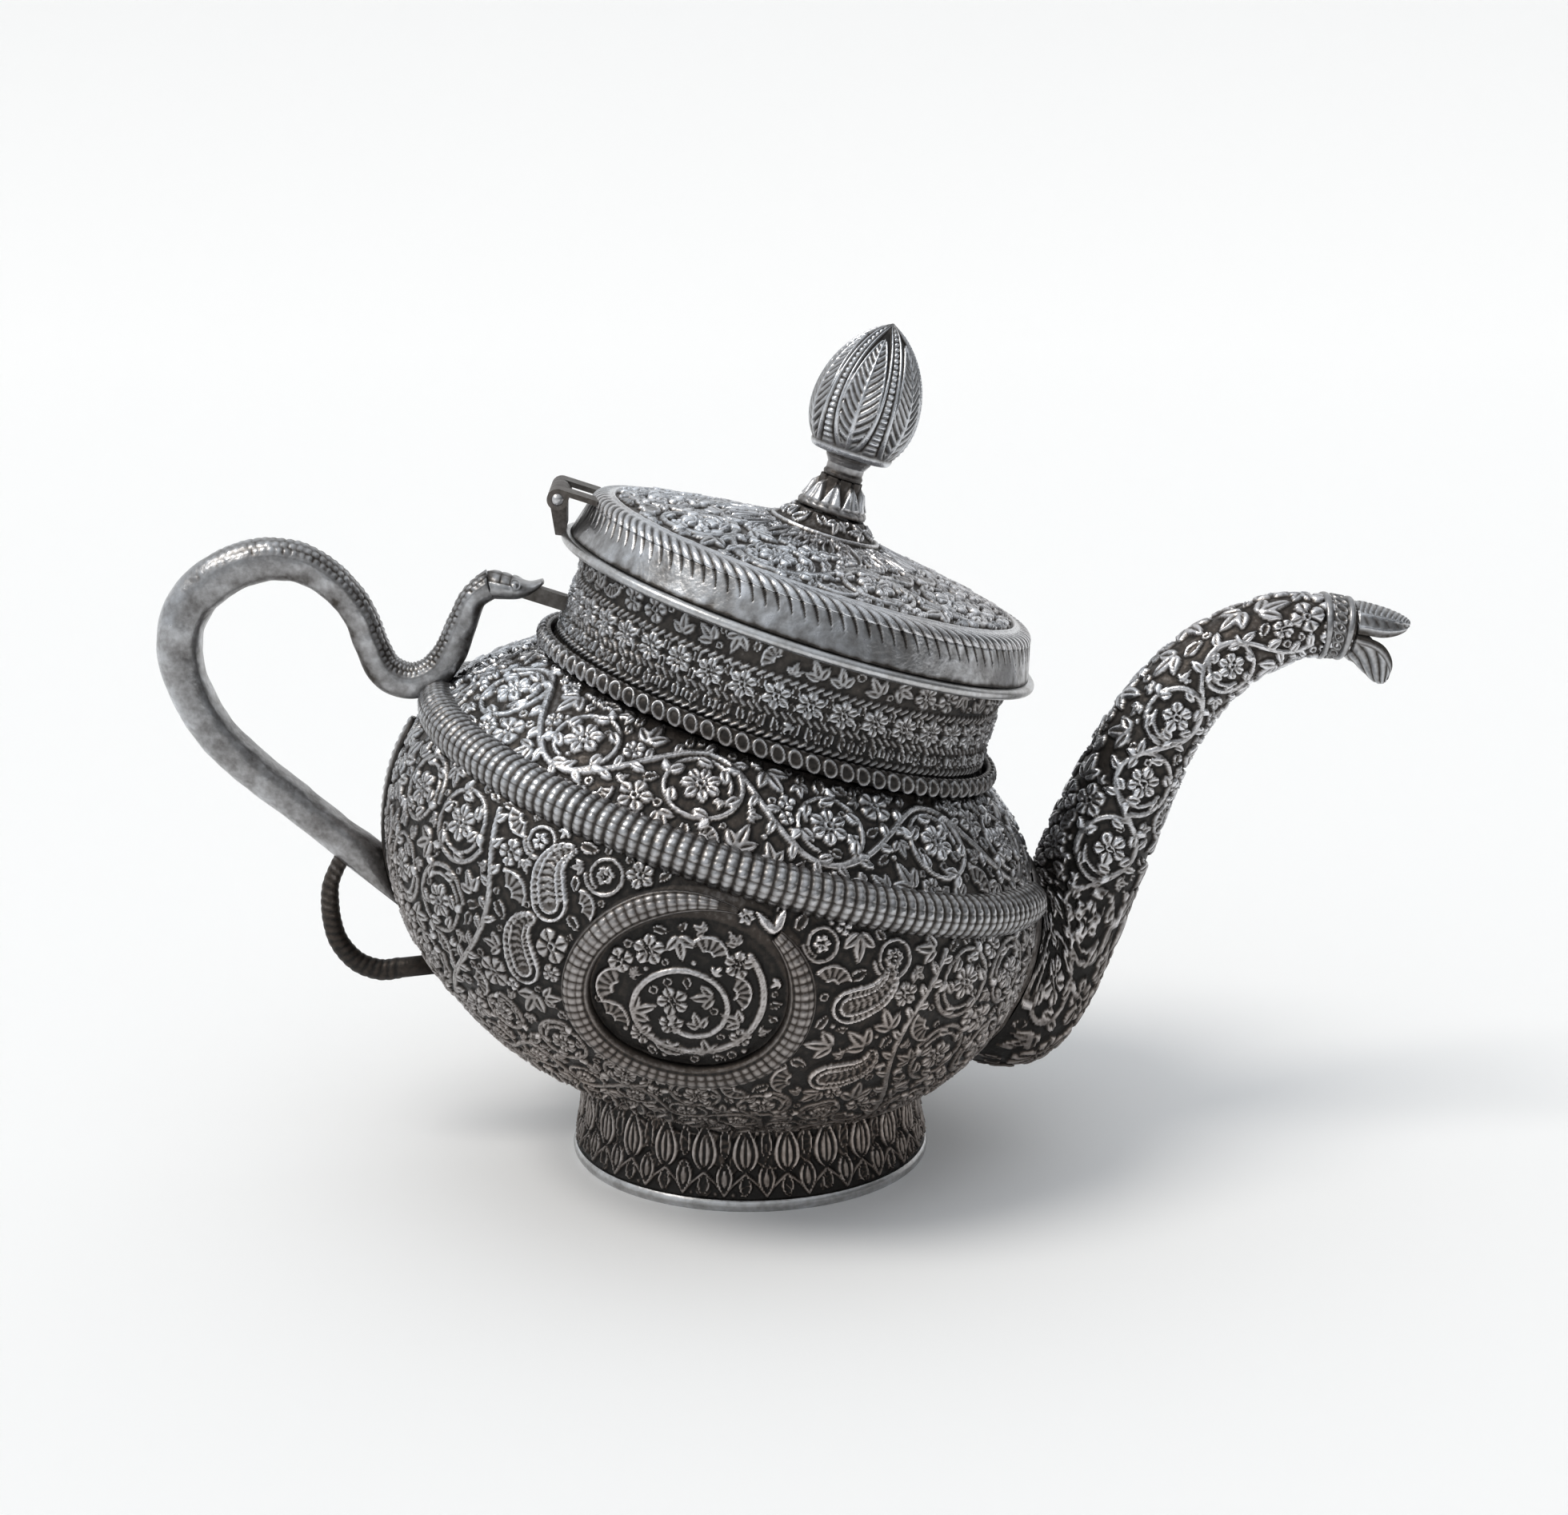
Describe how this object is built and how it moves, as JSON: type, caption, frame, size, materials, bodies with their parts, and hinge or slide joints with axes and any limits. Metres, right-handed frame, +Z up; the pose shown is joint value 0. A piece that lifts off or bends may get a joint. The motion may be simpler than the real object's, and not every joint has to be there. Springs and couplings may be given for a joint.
{
  "type": "coffee pot",
  "caption": "Squat leaning metal pot on a round foot, with a hinged domed lid, bud finial, serpent handle and upswept open-beaked spout.",
  "frame": {"origin": "centre of the flat face under the foot, on the surface that the pot stands on", "axes": "+X towards the spout, +Z up, the handle at -X; the pot is mirror-symmetric across the XZ plane apart from its chased ornament"},
  "size_m": [0.2543, 0.1374, 0.1716],
  "materials": {
    "silver_worn": "worn bright silver with dark oxide in its cuts",
    "silver_chased": "chased silver, dark brown-black oxide in its ground",
    "silver_dark": "oxidised silver, nearly unpolished"
  },
  "bodies": {
    "pot": {"foot_base_wire": "silver_worn", "foot_ring": "silver_chased", "bowl": "silver_chased", "shoulder": "silver_chased", "serpent_band": "silver_worn", "bead_ring": "silver_worn", "neck_collar": "silver_chased", "mouth_flange": "silver_worn", "medallion_serpent_front": "silver_chased", "medallion_serpent_back": "silver_chased", "spout_saddle": "silver_dark", "spout_tube": "silver_chased", "spout_collar": "silver_worn", "spout_upper_jaw": "silver_worn", "spout_lower_jaw": "silver_chased", "handle_escutcheon": "silver_chased", "handle_serpent": "silver_worn", "handle_head": "silver_worn", "handle_mouth_peg": "silver_dark", "handle_tail_loop": "silver_dark", "handle_tail_pad": "silver_chased", "hinge_pot_knuckle": "silver_dark"},
    "lid": {"lid_dome": "silver_chased", "lid_band": "silver_worn", "lid_bezel": "silver_dark", "hinge_lid_knuckles": "silver_dark", "hinge_pin": "silver_worn", "finial_calyx": "silver_chased", "finial_stem": "silver_dark", "finial_bud": "silver_worn", "finial_stud": "silver_dark", "finial_washer": "silver_dark"}
  },
  "joints": [
    {"name": "lid_hinge", "type": "hinge", "parent": "pot", "child": "lid", "pos_m": [-0.03761, 0, 0.13859], "axis": [0, -1, 0], "range_deg": [0, 160]}
  ]
}
